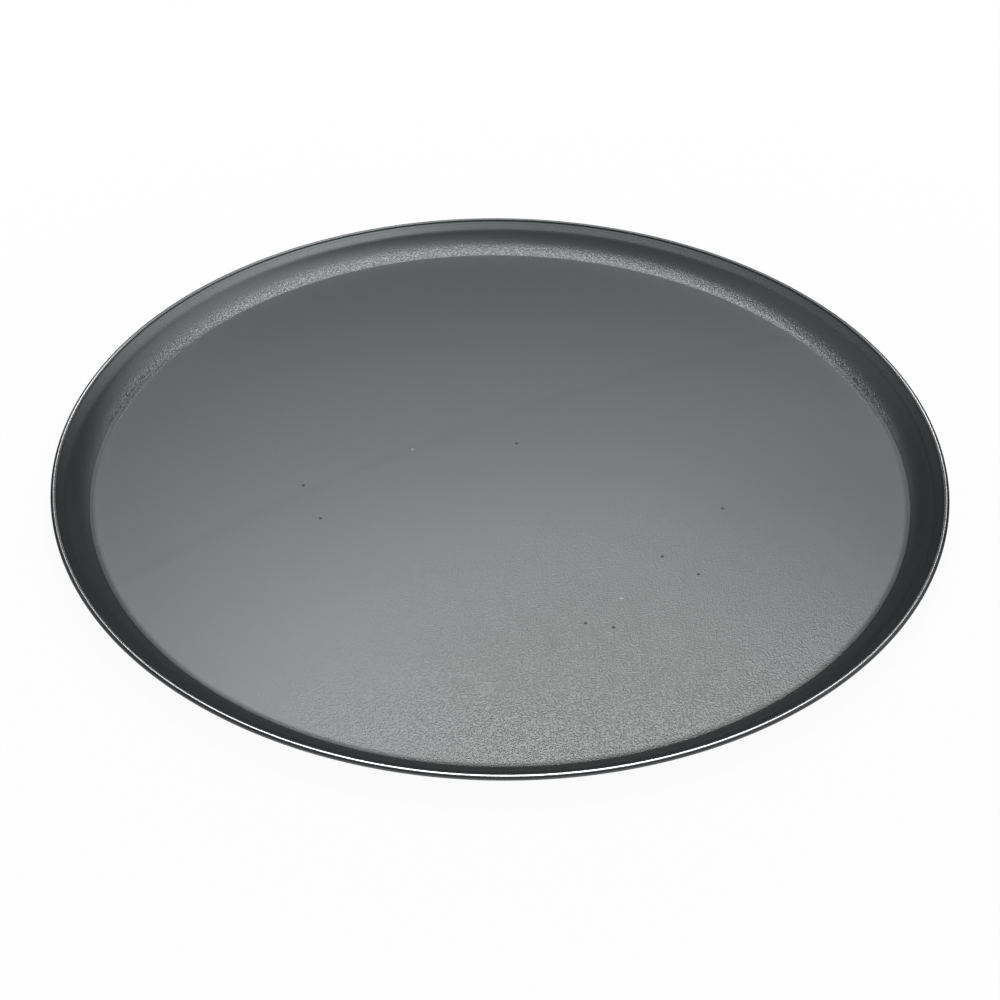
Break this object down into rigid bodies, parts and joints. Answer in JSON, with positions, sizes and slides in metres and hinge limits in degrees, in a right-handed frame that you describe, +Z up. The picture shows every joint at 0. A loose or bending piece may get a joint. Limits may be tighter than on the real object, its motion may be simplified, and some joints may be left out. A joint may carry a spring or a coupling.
{
  "type": "pizza pan",
  "caption": "Round shallow pizza pan pressed from thin dark-coated sheet steel, with a flat floor inside a narrow rising border, a curved side, a narrow sloping lip and an edge rolled round a steel wire.",
  "frame": {"origin": "centre of the pan's flat underside, where it stands on a shelf or a table", "axes": "+Z up along the pan's round axis; +X and +Y in the plane of the underside, with the wire's butt joint at +Y"},
  "size_m": [0.4, 0.4, 0.0116],
  "materials": {
    "pan_coating": "satin dark grey baked coating with a fine orange peel, on pressed steel sheet",
    "wire_steel": "plain drawn steel wire, uncoated"
  },
  "bodies": {
    "root": {"pan_shell": "pan_coating", "rim_wire": "wire_steel"}
  },
  "joints": []
}
